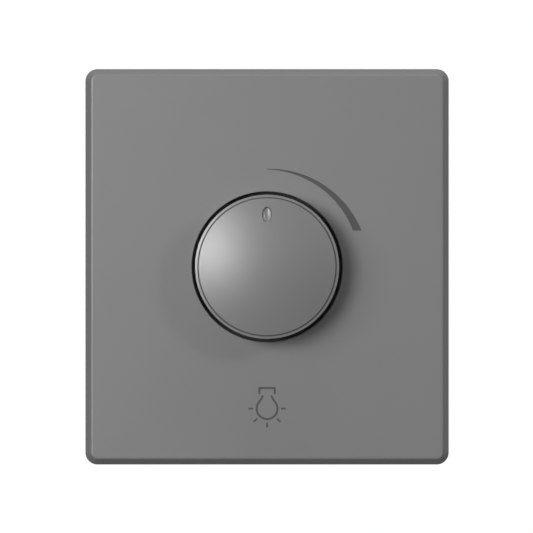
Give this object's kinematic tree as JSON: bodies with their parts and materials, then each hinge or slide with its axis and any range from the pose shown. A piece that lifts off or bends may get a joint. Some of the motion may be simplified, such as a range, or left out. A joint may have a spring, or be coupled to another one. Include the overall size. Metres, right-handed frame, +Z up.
{
  "type": "dimmer switch",
  "caption": "Push-and-turn wall dimmer: bevelled grey cover plate with a domed round knob, clip-on frame, and a rear housing with the control, power circuit and mains terminals.",
  "frame": {"origin": "centre of the knob axis and of the wall box fixing slots, on the wall plane", "axes": "+Z up, the front faces -Y into the room, +Y goes into the wall box, +X to the right"},
  "size_m": [0.086, 0.0466, 0.0936],
  "materials": {
    "grey_plastic": "satin moulded grey",
    "black_plastic": "fine moulded texture",
    "plated_steel": "zinc plated",
    "aluminium_sheet": "rolled sheet",
    "brass": "machined",
    "phenolic_wafer": "pressed laminate",
    "tinned_wire": "bright tin",
    "white_nylon": "moulded",
    "black_moulding": "smooth moulded",
    "circuit_laminate": "green solder mask",
    "iron_powder_core": "coated core",
    "enamelled_copper": "enamelled wire",
    "yellow_film_case": "moulded case",
    "grey_film_case": "moulded case",
    "fuse_glass": "clear tube",
    "resistor_coat": "lacquer",
    "diode_glass": "coated glass",
    "insulating_pad": "silicone sheet"
  },
  "bodies": {
    "base": {"cover_plate": "grey_plastic", "mounting_frame": "black_plastic", "pot_bush": "brass", "bush_washer": "plated_steel", "bush_nut": "brass", "pot_case": "plated_steel", "track_wafer": "phenolic_wafer", "pot_pins": "tinned_wire", "switch_case": "black_moulding", "switch_spring": "plated_steel", "switch_pins": "tinned_wire", "heat_sink_plate": "aluminium_sheet", "rear_housing": "black_plastic", "housing_screws": "plated_steel", "circuit_board": "circuit_laminate", "choke_core": "iron_powder_core", "choke_winding": "enamelled_copper", "film_capacitor": "yellow_film_case", "timing_capacitor": "grey_film_case", "fuse_tube": "fuse_glass", "fuse_caps": "tinned_wire", "fuse_clips": "tinned_wire", "resistors": "resistor_coat", "trigger_diode": "diode_glass", "triac_pad": "insulating_pad", "triac_lead_frame": "tinned_wire", "triac_body": "black_moulding", "triac_nut": "plated_steel", "triac_screw": "plated_steel", "terminal_pillars": "brass", "terminal_screws": "plated_steel"},
    "rotor": {"wiper_rotor": "white_nylon", "wiper_contact": "brass"},
    "knob": {"knob": "grey_plastic", "knob_grip_ring": "plated_steel", "pot_shaft": "aluminium_sheet", "shaft_clip": "plated_steel"},
    "plunger": {"switch_plunger": "white_nylon"}
  },
  "joints": [
    {"name": "knob_turn", "type": "hinge", "parent": "base", "child": "rotor", "pos_m": [0, 0, 0], "axis": [0, 1, 0], "range_deg": [-135, 135]},
    {"name": "knob_push", "type": "slide", "parent": "rotor", "child": "knob", "axis": [0, 1, 0], "range_m": [0, 0.0018], "stiffness_N_per_m": 1500, "springref_m": -0.001},
    {"name": "plunger_slide", "type": "slide", "parent": "base", "child": "plunger", "axis": [0, 1, 0], "range_m": [0, 0.0018], "deforming": ["switch_spring"]}
  ],
  "couplings": [
    {"joint": "plunger_slide", "follows": "knob_push", "ratio": 1}
  ]
}
